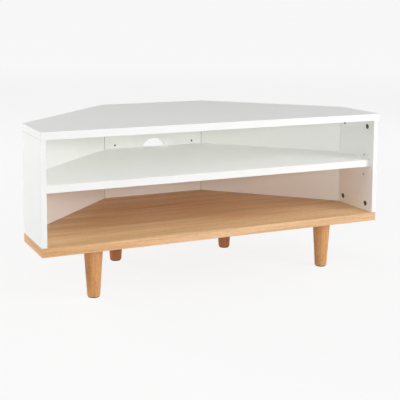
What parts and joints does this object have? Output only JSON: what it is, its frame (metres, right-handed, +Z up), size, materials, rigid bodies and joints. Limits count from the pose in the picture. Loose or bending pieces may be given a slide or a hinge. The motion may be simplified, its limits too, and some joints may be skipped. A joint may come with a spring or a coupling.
{
  "type": "corner tv cabinet",
  "caption": "Low open corner TV cabinet: white boards on an oak base, a loose shelf on pegs, a round cable hole in the back and tapered oak legs.",
  "frame": {"origin": "on the floor, under the middle of the cabinet's bounding box", "axes": "+X to the right seen from the front, +Y from the open front to the back that faces the room's corner, +Z up"},
  "size_m": [1.1, 0.5624, 0.494],
  "materials": {
    "white_board": "white lacquered fibreboard, satin",
    "oak_board": "oak veneer, grain along the width, satin lacquer",
    "solid_oak": "turned solid oak, grain along the leg, satin lacquer",
    "beech": "plain beech",
    "zinc": "die-cast zinc, dull",
    "steel": "zinc-plated steel",
    "dark_plastic": "dark brown nylon, matt"
  },
  "bodies": {
    "carcass": {"top_panel": "white_board", "base_panel": "oak_board", "left_side_panel": "white_board", "left_rear_panel": "white_board", "back_panel": "white_board", "right_rear_panel": "white_board", "right_side_panel": "white_board", "cam_lock_left_front_top": "zinc", "cam_lock_left_front_bottom": "zinc", "cam_lock_left_rear_top": "zinc", "cam_lock_left_rear_bottom": "zinc", "cam_lock_right_front_top": "zinc", "cam_lock_right_front_bottom": "zinc", "cam_lock_right_rear_top": "zinc", "cam_lock_right_rear_bottom": "zinc", "cam_bolt_left_front_top": "steel", "cam_bolt_left_front_bottom": "steel", "cam_bolt_left_rear_top": "steel", "cam_bolt_left_rear_bottom": "steel", "cam_bolt_right_front_top": "steel", "cam_bolt_right_front_bottom": "steel", "cam_bolt_right_rear_top": "steel", "cam_bolt_right_rear_bottom": "steel", "dowel_left_side_top": "beech", "dowel_left_side_bottom": "beech", "dowel_right_side_top": "beech", "dowel_right_side_bottom": "beech", "dowel_left_rear_near_left_top": "beech", "dowel_left_rear_near_left_bottom": "beech", "dowel_left_rear_near_right_top": "beech", "dowel_left_rear_near_right_bottom": "beech", "dowel_back_near_left_top": "beech", "dowel_back_near_left_bottom": "beech", "dowel_back_near_right_top": "beech", "dowel_back_near_right_bottom": "beech", "dowel_right_rear_near_left_top": "beech", "dowel_right_rear_near_left_bottom": "beech", "dowel_right_rear_near_right_top": "beech", "dowel_right_rear_near_right_bottom": "beech", "shelf_peg_left": "steel", "shelf_peg_right": "steel", "shelf_peg_back_left": "steel", "shelf_peg_back_right": "steel", "leg_front_left": "solid_oak", "leg_front_right": "solid_oak", "leg_rear_left": "solid_oak", "leg_rear_right": "solid_oak", "glide_front_left": "dark_plastic", "glide_front_right": "dark_plastic", "glide_rear_left": "dark_plastic", "glide_rear_right": "dark_plastic", "hanger_bolt_front_left": "steel", "hanger_bolt_front_right": "steel", "hanger_bolt_rear_left": "steel", "hanger_bolt_rear_right": "steel", "threaded_insert_front_left": "steel", "threaded_insert_front_right": "steel", "threaded_insert_rear_left": "steel", "threaded_insert_rear_right": "steel"},
    "shelf": {"shelf": "white_board"}
  },
  "joints": [
    {"name": "shelf_slide", "type": "slide", "parent": "carcass", "child": "shelf", "axis": [0, -1, 0], "range_m": [0, 0.55]}
  ]
}
